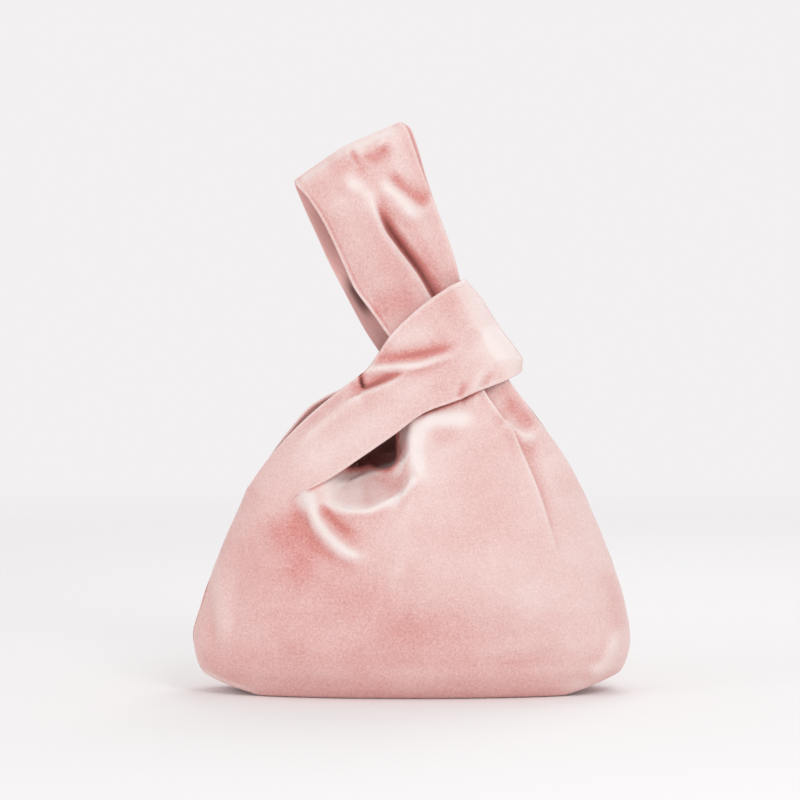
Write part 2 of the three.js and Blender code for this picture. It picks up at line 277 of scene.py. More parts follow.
def makeVelvet():
    look = velvetLook
    material, surface, finish = newMaterial("pinkVelvet")
    place = surface.node("ShaderNodeTexCoord", output=3)
    pileLightAndShade = surface.node("ShaderNodeAttribute", output=2, attribute_name="pileLightAndShade")
    cloud, brush, pile = (cloudsOf(surface, place, look[name]) for name in ("cloud", "brush", "pile"))
    patches = (cloud - 0.5) * look["patches"] + (brush - 0.5) * look["brushMarks"]
    # brushed down, the pile shows more of its grain
    grain = (pile - 0.5) * (look["grainless"] - pileLightAndShade)
    # the mix paints light and shade as well as showing how the pile lies
    tone = (pileLightAndShade + patches + grain * look["speckle"]).clamped()
    color = tone.mixed(look["brushedDownAndShaded"], look["brushedUpAndLit"])
    glints = grain * look["glints"] + 1
    color = surface.node("ShaderNodeVectorMath", {0: color, "Scale": glints}, operation="SCALE")
    # below 0 the colour is painted shade, for the dark of the mouth and of deep folds
    color = (pileLightAndShade * -1 + grain * look["grainInPaintedShade"]).clamped().mixed(color, look["paintedShade"])
    height = grain * look["grainHeight"] + brush * look["brushHeight"]
    return finished(material, surface, finish, look, color, height)


def makeSatin():
    look = satinLook
    material, surface, finish = newMaterial("pinkSatin")
    place = surface.node("ShaderNodeTexCoord", output=3)
    pileLightAndShade = surface.node("ShaderNodeAttribute", output=2, attribute_name="pileLightAndShade")
    weave = bandsOf(surface, place, look["weave"])
    cloud = cloudsOf(surface, place, look["cloud"])
    tone = (cloud * (1 - look["weaveShare"]) + weave * look["weaveShare"]).clamped()
    # painted shade: below 0 the lining is mixed towards the dark of the pouch's inside and of the gap between
    # the straps
    color = (pileLightAndShade * -1).clamped().mixed(tone.mixed(look["dark"], look["light"]), velvetLook["paintedShade"])
    return finished(material, surface, finish, look, color, weave)


def makeThread():
    look = threadLook
    material, surface, finish = newMaterial("sewingThread")
    plies = bandsOf(surface, surface.node("ShaderNodeTexCoord", output=3), look["plies"])
    return finished(material, surface, finish, look, plies.mixed(look["dark"], look["light"]), plies)


velvet, satin, thread = makeVelvet(), makeSatin(), makeThread()
print("velvet, satin and thread are mixed")

# Curves and fields that the cloth is drawn with


def through(knots, values):
    # a smooth curve through values at knots, that never overshoots them
    k, v = np.asarray(knots, float), np.asarray(values, float)
    rise = np.diff(v) / np.diff(k)
    slope = np.concatenate([rise[:1], np.zeros(len(v) - 2), rise[-1:]])
    turning = rise[:-1] * rise[1:] > 0
    total = np.where(turning, rise[:-1] + rise[1:], 1)
    slope[1:-1] = np.where(turning, 2 * rise[:-1] * rise[1:] / total, 0)

    def at(t):
        t = np.clip(t, k[0], k[-1])
        i = np.clip(np.searchsorted(k, t, side="right") - 1, 0, len(k) - 2)
        w = k[i + 1] - k[i]
        s = (t - k[i]) / w
        return ((1 + 2 * s) * (1 - s) ** 2 * v[i] + s * (1 - s) ** 2 * w * slope[i]
                + s * s * (3 - 2 * s) * v[i + 1] + s * s * (s - 1) * w * slope[i + 1])

    return at


def along(points, knots=None):
    # a smooth line through points, read from 0 to 1; it gives an array with the points' numbers last
    points = np.asarray(points, float)
    knots = np.linspace(0, 1, len(points)) if knots is None else knots
    curves = [through(knots, points[:, i]) for i in range(points.shape[1])]
    return lambda t: np.stack([c(t) for c in curves], -1)


def nearLine(x, z, line):
    # distance to a line, positive on the left of its direction, and the share along it
    steps = np.diff(line, axis=0)
    lengths = np.hypot(steps[:, 0], steps[:, 1])
    before = np.concatenate([[0], np.cumsum(lengths)])
    best, side, share = np.full(np.shape(x), 1e9), np.ones(np.shape(x)), np.zeros(np.shape(x))
    for (ax, az), (ex, ez), length, start in zip(line, steps, lengths, before):
        t = np.clip(((x - ax) * ex + (z - az) * ez) / length**2, 0, 1)
        dx, dz = x - ax - t * ex, z - az - t * ez
        d = np.hypot(dx, dz)
        nearer = d < best
        best = np.where(nearer, d, best)
        side = np.where(nearer, np.where(ex * dz - ez * dx >= 0, 1, -1), side)
        share = np.where(nearer, (start + t * length) / before[-1], share)
    return best * side, share


def fold(height, width, *line, fade=(0.4, 0.4)):
    # a ridge along a line, or a dip below 0; width is one number or that on the left and on the right
    left, right = width if isinstance(width, tuple) else (width, width)
    shape = lambda d: np.exp(-(d / np.where(d > 0, left, right)) ** 2)
    return {"height": height, "line": line, "fade": fade, "shape": shape}


def ramp(height, reach, *line, fade):
    # grows towards the line from the right, and stays
    return {"height": height, "line": line, "fade": fade, "shape": lambda d: ease(d / reach + 1)}


def step(height, edge, reach, *line, fade):
    # crisp on the line, then it dies away to the left
    shape = lambda d: np.where(d > 0, ease(d / edge) * np.exp(-(d / reach) ** 2), 0)
    return {"height": height, "line": line, "fade": fade, "shape": shape}


def foldAt(x, z, one):
    # how far one fold raises the cloth; its fade is the shares of the line over which it starts and
    # ends, and the line is drawn with six points for each that is given
    line = along(one["line"])(np.linspace(0, 1, 6 * len(one["line"])))
    d, share = nearLine(x, z, line)
    start, end = one["fade"]
    fade = (ease(share, 0, start) if start else 1.0) * (1 - ease(share, 1 - end, 1) if end else 1.0)
    return one["height"] * fade * one["shape"](d)


def foldsAt(x, z, folds):
    return sum((foldAt(x, z, one) for one in folds), np.zeros(np.shape(x)))


def unevenness(x, y, z, size, seed):
    # smooth random swell between about -1 and 1; the noise alone stays within about 0.6
    spots = np.stack(np.broadcast_arrays(x, y, z), -1).reshape(-1, 3) / size + seed
    return np.array([noise.noise(Vector(p)) for p in spots]).reshape(np.shape(x)) * 1.6


def swellAt(x, y, z, *swells):
    # each swell has its size, its seed and its height
    return sum(unevenness(x, y, z, size, seed) * height for size, seed, height in swells)


# Cloth meshes

cloth = {
    "velvet": 1.2,
    "plyGap": 0.3,
    "lining": 0.5,
    "seamGap": 1.2,
    "clearance": 0.4,
    "leastShare": 0.31,  # of its flat size that a sheet covers
    "liningEdge": 0.6,  # how round the lining's edge is in the pouch
}
wall = cloth["velvet"] + cloth["plyGap"] + cloth["lining"]
neckDepth = 6.4
rootDepth = neckDepth + cloth["clearance"] + wall
knotDepth = rootDepth + cloth["clearance"] + wall + 3 * cloth["plyGap"]
halfSeam = cloth["seamGap"] / 2
edgeTurns = (0.8, 1.571, 2.34)  # angles of the rings round a sheet's edge, from its outer face
threadSides = 8


def facing(grid):
    # unit normals of a grid of points; they face the way that its columns cross its rows
    up = np.gradient(grid, axis=0)
    right = np.gradient(grid, axis=1)
    n = np.cross(right, up)
    return n / np.maximum(np.linalg.norm(n, axis=-1, keepdims=True), 1e-9)


def under(grid, depth, halfGap):
    inner = grid - facing(grid) * depth
    inner[..., 1] = np.minimum(inner[..., 1], -halfGap)
    return inner


def meshObject(name, points, faces, material, pileLightAndShade=None, spots=None, crisp=None):
    mesh = bpy.data.meshes.new(name)
    mesh.from_pydata((np.asarray(points) * mm).tolist(), [], faces)
    mesh.polygons.foreach_set("use_smooth", [True] * len(mesh.polygons))
    # the pile value, which carries painted light and shade
    if pileLightAndShade is not None:
        mesh.attributes.new("pileLightAndShade", "FLOAT", "POINT").data.foreach_set("value", np.asarray(pileLightAndShade, np.float32))
    if spots is not None:
        layer = mesh.uv_layers.new(name="cloth")
        corners = np.empty(len(mesh.loops), np.int32)
        mesh.loops.foreach_get("vertex_index", corners)
        layer.data.foreach_set("uv", np.asarray(spots, np.float32)[corners].ravel())
    if crisp is not None:
        ends = np.empty(2 * len(mesh.edges), np.int32)
        mesh.edges.foreach_get("vertices", ends)
        sharp = np.asarray(crisp)[ends.reshape(-1, 2)].all(1)
        mesh.attributes.new("sharp_edge", "BOOLEAN", "EDGE").data.foreach_set("value", sharp)
    mesh.materials.append(material)
    piece = bpy.data.objects.new(name, mesh)
    bpy.context.collection.objects.link(piece)
    return piece


def clothObject(name, outer, inner, material, backwards=False, roundness=1, pileLightAndShade=None):
    # a closed sheet between two grids, with its edges rolled round; roundness may be given for each
    # edge: (first row, last column, last row, first column), each a number or one for each point
    rows, columns = outer.shape[:2]
    ids = np.arange(rows * columns).reshape(rows, columns)
    loop = np.concatenate([ids[0, :-1], ids[:-1, -1], ids[-1, :0:-1], ids[:0:-1, 0]])
    inward = np.concatenate([ids[1, :-1], ids[:-1, -2], ids[-2, :0:-1], ids[:0:-1, 1]])
    if np.isscalar(roundness):
        roundness = (roundness,) * 4
    lengths = (columns - 1, rows - 1, columns - 1, rows - 1)
    bulge = np.concatenate([np.broadcast_to(r, n) for r, n in zip(roundness, lengths)])[:, None]
    flatOuter, flatInner = outer.reshape(-1, 3), inner.reshape(-1, 3)
    o, i = flatOuter[loop], flatInner[loop]
    middle, spoke = (o + i) / 2, (o - i) / 2
    out = o - flatOuter[inward]
    out = out - spoke * (out * spoke).sum(1, keepdims=True) / (spoke * spoke).sum(1, keepdims=True)
    out = out / np.maximum(np.linalg.norm(out, axis=1, keepdims=True), 1e-9)
    radius = np.linalg.norm(spoke, axis=1, keepdims=True)
    rings = [middle + spoke * math.cos(a) + out * radius * math.sin(a) * bulge for a in edgeTurns]
    points = np.concatenate([flatOuter, flatInner, *rings])
    count, first = len(flatOuter), 2 * len(flatOuter)
    n = len(loop)
    chains = [loop, *[first + k * n + np.arange(n) for k in range(len(rings))], loop + count]
    a, b, c, d = ids[:-1, :-1].ravel(), ids[:-1, 1:].ravel(), ids[1:, 1:].ravel(), ids[1:, :-1].ravel()
    quads = [np.stack([a, b, c, d], 1), np.stack([a, d, c, b], 1) + count]
    for one, two in zip(chains, chains[1:]):
        quads.append(np.stack([one, two, np.roll(two, -1), np.roll(one, -1)], 1))
    quads = np.concatenate(quads)
    if backwards:
        points = points * (1, -1, 1)
        quads = quads[:, ::-1]
    spots = np.stack(np.meshgrid(np.linspace(0, 1, columns), np.linspace(0, 1, rows)), -1).reshape(-1, 2)
    spots = np.concatenate([spots, spots, *[spots[loop]] * len(rings)])
    if pileLightAndShade is not None:
        flatPileLightAndShade = pileLightAndShade.ravel()
        pileLightAndShade = np.concatenate([flatPileLightAndShade, flatPileLightAndShade, *[flatPileLightAndShade[loop]] * len(rings)])
    crisp = np.zeros(len(points), bool)
    flatEdge = loop[bulge[:, 0] == 0]
    crisp[flatEdge] = crisp[flatEdge + count] = True
    return meshObject(name, points, quads.tolist(), material, pileLightAndShade, spots, crisp)


def threadObject(name, path, size, side, closed):
    # a round thread along a path
    if closed:
        tangent = np.roll(path, -1, 0) - np.roll(path, 1, 0)
    else:
        tangent = np.gradient(path, axis=0)
    tangent /= np.linalg.norm(tangent, axis=1, keepdims=True)
    across = np.cross(tangent, np.asarray(side, float))
    across /= np.maximum(np.linalg.norm(across, axis=1, keepdims=True), 1e-9)
    up = np.cross(across, tangent)
    sides, n = threadSides, len(path)
    angles = [2 * math.pi * k / sides for k in range(sides)]
    rings = np.stack([path + (up * math.cos(a) + across * math.sin(a)) * size / 2 for a in angles], 1)
    faces = []
    for i in range(n if closed else n - 1):
        for k in range(sides):
            j, m = (i + 1) % n, (k + 1) % sides
            faces.append((i * sides + k, i * sides + m, j * sides + m, j * sides + k))
    if not closed:
        faces += [tuple(range(sides - 1, -1, -1)), tuple(range((n - 1) * sides, n * sides))]
    return meshObject(name, rings.reshape(-1, 3), faces, thread)


def clothArea(grid):
    a, b = np.diff(grid, axis=0)[:, :-1], np.diff(grid, axis=1)[:-1]
    return float(np.linalg.norm(np.cross(a, b), axis=-1).sum()) * mm * mm


def declare(nodes, flat, restsOn, grid):
    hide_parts(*nodes)
    width, length = (n * mm for n in flat)
    area = min(max(clothArea(grid), cloth["leastShare"] * width * length), width * length)


def declareSides(sides, slotName, nodes, cut, restsOn):
    # the front and the back sheet of one kind; in a name, {side} and {Side} stand for which it is
    for (side, made), flat in zip(sides.items(), cut[slotName]):
        words = {"side": side, "Side": side.capitalize()}
        named = [node.format(**words) for node in nodes]
        declare(named, flat, restsOn.format(**words), made["grid"])


# painted light in the pile value: lighter where the cloth faces the lamp direction and on crests, darker in
# dips; the patches are random
pileAndLight = {
    "lampDirection": (0.42, -0.42, 0.8),
    "level": 0.5,
    "facingLamp": 0.45,
    "facingLampRange": (-0.25, 0.4),
    "crest": 0.35,
    "crestRange": (-0.2, 0.25),
    "smoothing": 16,
    "patches": 0.06,
    "patchSize": 38,
}


def seenHeight(y, z):
    # the height that a point in front of the middle seems to have, from the camera's slight elevation
    return z + y * math.tan(math.radians(view["elevation"]))


# The pouch

pouch = {
    "z": (0, 8, 18, 32, 50, 75, 100, 125, 145, 165, 182, 194, 212),
    "left": (-117, -121.8, -126.8, -129.2, -125.2, -117.6, -106.4, -94.6, -80.2, -59.5, -38.5, -25, -18),
    "right": (118, 121.4, 126.4, 129.2, 126.4, 119.6, 109.8, 98, 86, 72, 59, 51, 42),
    "depth": (45, 51.5, 56.5, 59.3, 60, 56, 47.5, 37, 27.5, 18.8, 12.4, *[rootDepth + cloth["plyGap"]] * 2),
    "roundness": 2.2,
    "baseFlat": 88,
    "baseEnd": 120,
    "cornerLift": 12.5,
    "cornerCurve": 1.3,
    "hemShare": 0.75,  # of the velvet that the panels' lower edge stands above the base
    "mouthLeft": 0.25,
    "shoulderBlend": 0.05,
    "slitFrom": 140,
    "slitFull": 188,
    "columns": 271,
    "rows": 150,
    "cut": {"velvet": [(330, 260)] * 2, "lining": [(320, 250)] * 2},  # the flat cloths, front and back
    # the rim from the left shoulder to the root of the long handle, by shares of the way round
    "frontRim": {
        "u": (0.25, 0.28, 0.31, 0.345, 0.385, 0.42, 0.445, 0.458, 0.468, 0.478, 0.5, 1),
        "z": (121, 130.5, 139, 146, 148.5, 148, 148, 150.5, 159, 176, 206, 206),
    },
    "backRim": {"u": (0.25, 0.30, 0.36, 0.41, 0.46, 0.5, 1), "z": (121, 138, 152, 161, 178, 206, 206)},
}
# where the rim's right end is drawn to the left
mouthWall = {"share": 0.468, "reach": 0.035, "z": (140, 157), "back": (164, 180), "drawn": 6.6}
mouthEnds = (162, 178)  # the rim's folds die away between these heights
shoulder = {"x": -80, "z": 145, "radius": 30, "rounds": 14}
# the pleat at the right: heights, the share of the width where it stands there and how deep it is
pleat = {
    "z": (0, 77, 104, 130.7, 152.6, 166.2, 180, 212),
    "share": (0.862, 0.864, 0.867, 0.871, 0.865, 0.842, 0.816, 0.79),
    "depth": (0, 0.15, 1.4, 2.8, 3.8, 4.6, 5, 0.6),
    "columnShare": 0.7614,
    "edge": 1.1,
    "lip": 0.12,
    "lipWidth": 4,
}
mouthRoll = {
    "line": [(-66, 121), (-59, 117.5), (-53.4, 114), (-46.6, 110.6), (-38.3, 108.4), (-27.9, 108),
             (-18.2, 111.4), (-8.5, 117), (-4, 122), (-2.8, 130), (-3.2, 140), (-3.6, 150), (-2, 160)],
    "points": 70,
    "slope": 0.95,
    "deepest": 20,
    "standsBack": 0.8,
    "softness": ((0.2, 0.4, 0.75), (2, 1.1, 2.6)),
    "fadesIn": 0.2,
    "endsAt": (146, 162),
}
mouthFolds = [
    # the mouth's rim turns in
    ramp(-8, 7.5, (-52, 128), (-40, 137), (-30, 141), (-20, 142), (-12, 142.5), (-8, 147), (-7.4, 157),
         fade=(0.25, 0)),
    # the crest of the mouth's roll, and on into the wall at its right
    fold(1.6, (1.7, 2.6), (-56, 115), (-46, 110), (-37, 107.6), (-27, 107.4), (-18, 110.8), (-8, 117),
         (-1.5, 122.4), (1.4, 129), fade=(0.2, 0.12)),
    fold(2.6, 5.2, (0.4, 124), (1.6, 131), (1.2, 145), (4, 154.5), (13, 160.5), (25, 161), (40, 159),
         fade=(0.15, 0.3)),
]
frontFolds = [
    # pulled from the shoulder down to the middle
    fold(4, (3.8, 4.8), (-66.4, 120.5), (-60, 111.2), (-54, 99.5), (-46.6, 90.4), (-38.3, 83), (-29.5, 80),
         (-22, 77.5), fade=(0.12, 0.35)),
    fold(-2.6, 5.4, (-57, 112), (-49, 102), (-40, 95), (-28, 90), fade=(0.3, 0.5)),
    fold(-1.6, 6.5, (-70, 112), (-66, 100), (-58, 88), (-46, 77), fade=(0.3, 0.5)),
    fold(-0.9, 6, (8, 146), (20, 150.5), (34, 148), fade=(0.4, 0.5)),
    # gathers under the band
    fold(-1.2, 2, (30.5, 186), (30.3, 172), (31, 164), fade=(0, 0.6)),
    fold(1, 2.8, (36, 186), (37, 174), (39, 162), fade=(0, 0.6)),
    # in the pleat at the right
    fold(2.6, (3.4, 5), (52, 161), (60, 155.5), (67, 151), (75, 148), fade=(0.2, 0.35)),
    fold(-1.8, 5, (52, 175), (60, 166), (68, 159), (76, 155), fade=(0.3, 0.4)),
    # soft creases at the base's ends
    fold(-1.6, 4.5, (-120, 74), (-121, 54), (-119, 36), (-112, 18)),
    fold(1.3, 6, (-110, 78), (-111, 52), (-108, 32), (-98, 16)),
    fold(1.5, (5, 3), (121, 42), (119, 34), (112, 18), (101, 9), fade=(0.35, 0.25)),
    fold(-0.9, 8, (96, 30), (70, 18), (40, 13)),
    # broad slack folds
    fold(-1.8, 11, (-95, 105), (-102, 80), (-104, 55), (-98, 30)),
    fold(1.6, 13, (-72, 92), (-80, 70), (-80, 45), fade=(0.4, 0.5)),
    fold(-1.5, 11, (-5, 70), (-35, 50), (-75, 38), fade=(0.4, 0.5)),
    fold(1, 14, (20, 120), (45, 95), (62, 62), fade=(0.5, 0.5)),
    fold(-1.2, 13, (60, 100), (85, 60), (92, 32), fade=(0.4, 0.5)),
]
backFolds = [
    fold(2, (6, 9), (66, 132), (50, 112), (30, 96), (4, 88), fade=(0.3, 0.6)),
    fold(2.2, (6, 10), (-62, 124), (-52, 106), (-36, 90), (-12, 76), fade=(0.2, 0.6)),
    fold(-2, 8, (-20, 136), (-4, 120), (8, 100), fade=(0.3, 0.5)),
    fold(1.6, 5, (20, 178), (22, 150), (18, 120), fade=(0.05, 0.6)),
    fold(-1.8, 6, (34, 176), (46, 150), (60, 118), fade=(0.05, 0.6)),
    fold(-1.6, 10, (-100, 90), (-106, 60), (-100, 30)),
    fold(-1.6, 10, (104, 90), (110, 60), (104, 30)),
    fold(-1.4, 12, (-60, 60), (-20, 44), (40, 40)),
    fold(1.4, 13, (10, 84), (30, 60), (70, 44)),
]
# size, seed and height of the slack in each panel, and the heights between which it sets in
frontSwells = ((60, 0, 1), (26, 7, 0.45))
backSwells = ((60, 3, 1.2), (26, 5, 0.5))
slackFrom = (3, 22)
backDent = {"depth": 4, "x": -25, "z": 147, "width": 26, "height": 24}

# starting levels of the pile value; the base's higher level is painted light on its shaded underside, and the
# linings' inside level is painted shade
pileLightAndShadeLevels = {"pouch": 0.5, "loop": 0.51, "base": 0.72, "inside": 0.35}
# painted light and shade on the pile value: highlights on ridges, darker pools, shade under the short handle
# and in the mouth; width is how far a mark reaches, height how much it lightens, below 0 how much it darkens
pouchLightAndShade = [
    fold(-0.48, 13, (-82, 112), (-76, 99), (-68, 84), (-50, 68), fade=(0.35, 0.4)),
    fold(-0.12, 11, (-24, 86), (-8, 75), (12, 66), fade=(0.3, 0.4)),
    fold(-0.15, 24, (-104, 56), (-50, 52), (0, 42), (60, 30), fade=(0.2, 0.4)),
    fold(0.1, 9, (-104, 118), (-100, 96), (-96, 82), fade=(0.3, 0.4)),
    fold(-0.1, 7, (-96, 74), (-50, 62), (-8, 50), fade=(0.3, 0.4)),
    fold(0.07, 7, (-104, 38), (-88, 33), (-72, 29), fade=(0.3, 0.3)),
    fold(-0.09, 9, (-80, 30), (-50, 24), (-20, 22), fade=(0.3, 0.3)),
    fold(0.1, 5, (-118, 90), (-114, 60), (-108, 26), fade=(0.3, 0.3)),
    fold(-0.12, 6, (-128, 24), (-112, 12), (-92, 6), fade=(0.2, 0.3)),
    fold(-0.1, 8, (-90, 2), (0, 3), (100, 3), fade=(0.1, 0.1)),
    fold(-0.17, 6, (114, 78), (121, 52), (124, 28), fade=(0.3, 0.3)),
    fold(0.16, 4, (123, 32), (114, 16), (102, 6), (80, 3), fade=(0.2, 0.3)),
    fold(-0.26, 5.5, (52, 180), (60, 169), (68, 160), (74, 152), fade=(0.05, 0.3)),
    fold(-0.16, 4, (66, 150), (73, 130), (79, 112), (84, 92), fade=(0.1, 0.5)),
    # painted highlights on the mouth's wall and the crest of its roll
    fold(0.4, 6.6, (0.4, 122), (2.2, 130), (2.2, 144), (6.4, 153), (15, 158.4), (26, 159.5), (42, 157),
         fade=(0.1, 0.25)),
    fold(0.28, 2.6, (-54, 113), (-42, 109.5), (-27, 108.5), (-12, 114.5), (-1.5, 122), (1.8, 129),
         fade=(0.2, 0.05)),
    fold(0.2, 6, (-52, 117), (-38, 120), (-26, 118), fade=(0.15, 0.3)),
    fold(-0.26, 6, (-58, 113), (-44, 101), (-30, 94), (-14, 92), fade=(0.2, 0.5)),
    # painted highlight on the fold pulled from the shoulder
    fold(0.3, 4.2, (-66, 120), (-60, 111), (-54, 99.5), (-46, 90), (-37, 83), (-26, 78), fade=(0.1, 0.3)),
    # painted shade: the dark of the mouth
    ramp(-2.1, 7.6, (-44, 132), (-39.5, 134.4), (-32, 136.4), (-25, 137.8), (-19.6, 136), (-15.4, 135.2),
         (-13.2, 139.4), (-13, 145), (-13.6, 157), fade=(0.2, 0)),
    # painted highlights on the roll's inner face and the wall's left edge
    fold(0.3, 3.5, (-46, 123.5), (-36, 127.4), (-28, 128.5), fade=(0.2, 0.3)),
    fold(0.35, 3.2, (-4.6, 146), (-4.4, 152), (-2, 160), fade=(0.3, 0)),
    # shadow under the short handle's lower edge
    fold(-0.9, 1.8, (2, 163), (8, 165.6), (18, 169.4), (28, 173), (41, 179), fade=(0.15, 0.1)),
    fold(-0.6, 1.8, (-63, 118.4), (-48.4, 127.8), (-38, 134), fade=(0.15, 0.2)),
    fold(-0.13, 28, (8, 128), (40, 108), (62, 80), fade=(0.3, 0.4)),
    # painted highlight along the base seam's upper lip
    fold(0.3, 1.2, (-124, 12.5), (-115.8, 9.3), (-105, 5.4), (-97, 3.1), (-88, 1.8), fade=(0.1, 0.4)),
    fold(-0.12, 10, (86, 138), (96, 112)),
]
# painted light and shade on the short handle: shade above its bulge, in the pocket and the notch, highlights
# along the crest and at its right end
bandLightAndShade = [
    fold(-0.42, (4.2, 2.6), (-24, 193.4), (-8, 197), (11, 200.2), (22, 202.6), (31, 205.6), fade=(0.4, 0.35)),
    fold(0.24, 7, (-16, 205), (4, 210), (20, 214), fade=(0.2, 0.4)),
    fold(0.3, 13, (38, 214), (48, 204), (57, 195), fade=(0.4, 0.3)),
    fold(-0.55, (3.6, 0.5), (-27.5, 178.8), (-19.2, 182), (-9.8, 186.2), (-2, 190), fade=(0, 0.75)),
    fold(0.16, 1.6, (-28, 189.4), (-24, 190.4), (-8, 191.7), (3.4, 193.1), (22, 198.6), fade=(0.1, 0.5)),
    # painted shade in the notch
    fold(-1.7, 0.9, (-27.6, 189.8), (-30.3, 187.3), (-30, 184.4), (-28.9, 180.5), (-27.8, 178.4),
         fade=(0.15, 0.3)),
    fold(0.13, 9, (-72, 132), (-54, 140), (-30, 155), (-6, 170), (20, 182), fade=(0.2, 0.3)),
    fold(-0.14, (0.8, 8), (-29, 178.1), (-43.8, 168.1), (-57.9, 156.8), (-72, 143.6), fade=(0.05, 0.3)),
    fold(0.1, 3, (-29, 176), (-43.8, 165.6), (-57.9, 154), (-72, 141), fade=(0.1, 0.4)),
    fold(-0.2, 1.6, (28, 173), (29.5, 178), (31, 182), fade=(0.1, 0.5)),
    fold(-0.1, 8, (14, 222), (28, 232), (36, 238), fade=(0.3, 0.3)),
]
# the stitched hem along the long handle's left edge
hemLine = [(-61.5, 295), (-51.4, 281), (-44.6, 268), (-37.4, 252.2), (-31, 238.4), (-21.6, 225.4), (-11.6, 211)]
# painted light and shade on the long handle: highlights on the rolled top and the ridges, shade in the gathers
# and past the pleat; the last one darkens the line of the stitched hem
loopLightAndShade = [
    fold(0.3, 4, (-67, 303), (-48, 316.5), (-28, 326.5), (-8, 335), fade=(0.05, 0.1)),
    fold(-0.3, 5.5, (-34, 314), (-26, 313), (-17, 317), (-9, 323), fade=(0.2, 0.3)),
    fold(-0.14, 5, (-30, 311), (-24, 303), (-20, 294), fade=(0.3, 0.3)),
    fold(0.16, 10, (-54, 292), (-40, 286), (-30, 266), (-20, 250), fade=(0.2, 0.4)),
    fold(-0.2, 5, (-52, 311), (-42, 312), (-34, 307), fade=(0.3, 0.3)),
    fold(0.3, 4.6, (-41, 300.5), (-33, 298.6), (-27, 294), (-21.5, 284), (-16, 273), fade=(0.15, 0.5)),
    fold(-0.78, (6.5, 0.4), (-22, 294), (-16, 275), (-8, 262), (3, 248), (11, 234), fade=(0.35, 0)),
    fold(0.16, 4, (-19, 304), (-10, 294), (-2, 284), (6, 277), fade=(0.3, 0.2)),
    fold(-0.34, (6, 2.6), (-14, 306), (-3, 295.5), (4, 290), (10.4, 286.2), fade=(0.3, 0.1)),
    fold(-0.24, 9, (-24, 225), (-10, 227), (4, 234), fade=(0.1, 0.2)),
    fold(0.2, 3, (10.5, 296), (17, 277.5), (22, 261), (25.5, 248), fade=(0.2, 0.2)),
    fold(-0.22, 3, (-40, 321), (-37, 316), (-30, 309.5), (-24, 306), fade=(0.1, 0.3)),
    fold(-0.16, 0.6, *hemLine, fade=(0.1, 0.05)),
]
# painted highlight on the back strap's edge, where it lies in the front strap's shadow
bandBackLightAndShade = [
    fold(0.22, 4, (-84, 146), (-61, 166), (-42, 181), fade=(0.2, 0.3)),
]
# painted shade: the back strap's facing is darkened beside the front strap, in its shadow
shadeBetweenStraps = [
    fold(-0.7, 2.6, (-40.5, 250), (-37, 243), (-32.5, 235), (-27.5, 226.5), (-22, 218)),
    fold(-0.12, 3.5, (-62, 290), (-52, 272), (-43, 254), fade=(0.3, 0.2)),
    fold(-0.4, 6, (-43, 246), (-38.6, 238), (-34.5, 231), (-28, 220.5), (-22, 210), (-15, 198),
         fade=(0.25, 0)),
]

# the plain pouch, before its folds
leftAt = through(pouch["z"], pouch["left"])
rightAt = through(pouch["z"], pouch["right"])
depthAt = through(pouch["z"], pouch["depth"])
pleatShare = through(pleat["z"], pleat["share"])
pleatDepth = through(pleat["z"], pleat["depth"])


def baseRise(x):
    t = np.clip((np.abs(x) - pouch["baseFlat"]) / (pouch["baseEnd"] - pouch["baseFlat"]), 0, 1)
    return pouch["cornerLift"] * t ** pouch["cornerCurve"]


def slitAt(z):
    return mix(halfSeam, depthAt(z) - cloth["plyGap"], ease(z, pouch["slitFrom"], pouch["slitFull"]))


def bulge(share, z):
    edge = np.where(share < 0.5, halfSeam, slitAt(z))
    half = np.sqrt(np.clip(4 * share * (1 - share), 0, 1))
    return edge + (depthAt(z) - edge) * half ** (2 / pouch["roundness"])


def shareAt(x, z):
    return np.clip((x - leftAt(z)) / (rightAt(z) - leftAt(z)), 0, 1)


def outward(x, y, z):
    # unit normal of the plain pouch
    half, middle, depth = (rightAt(z) - leftAt(z)) / 2, (rightAt(z) + leftAt(z)) / 2, depthAt(z)
    rise = 0.5
    halfRise = ((rightAt(z + rise) - leftAt(z + rise)) / 2 - half) / rise
    depthRise = (depthAt(z + rise) - depth) / rise
    dx = (x - middle) / half**2
    dy = y / depth**2
    dz = -((x - middle) ** 2) / half**3 * halfRise - y * y / depth**3 * depthRise
    n = np.stack([dx, dy, dz], -1)
    return n / np.maximum(np.linalg.norm(n, axis=-1, keepdims=True), 1e-9)


def hollowAt(x, z):
    # how far the slack mouth has fallen in
    line = along(mouthRoll["line"])(np.linspace(0, 1, mouthRoll["points"]))
    d, share = nearLine(x, z, line)
    soft = through(*mouthRoll["softness"])(share)
    inside = np.logaddexp(0, (d - mouthRoll["standsBack"]) / soft) * soft * mouthRoll["slope"]
    fade = ease(share, 0, mouthRoll["fadesIn"]) * (1 - ease(z, *mouthRoll["endsAt"]))
    return mouthRoll["deepest"] * np.tanh(inside / mouthRoll["deepest"]) * fade


def frontRelief(x, y, z):
    seen = seenHeight(y, z)
    relief = foldsAt(x, seen, frontFolds)
    edge = mix(leftAt(z), rightAt(z), pleatShare(z))
    past = x - edge
    room = np.maximum(rightAt(z) - edge, 1)
    fallen = ease(past / pleat["edge"]) * np.clip(1 - past / room, 0, 1)
    lip = pleat["lip"] * pleatDepth(z) * np.exp(-(past / pleat["lipWidth"]) ** 2)
    return relief - pleatDepth(z) * fallen + lip + swellAt(x, y, z, *frontSwells) * ease(z, *slackFrom)


def mouthRelief(x, y, z):
    seen = seenHeight(y, z)
    return frontRelief(x, y, z) + foldsAt(x, seen, mouthFolds) * (1 - ease(z, *mouthEnds)) - hollowAt(x, seen)


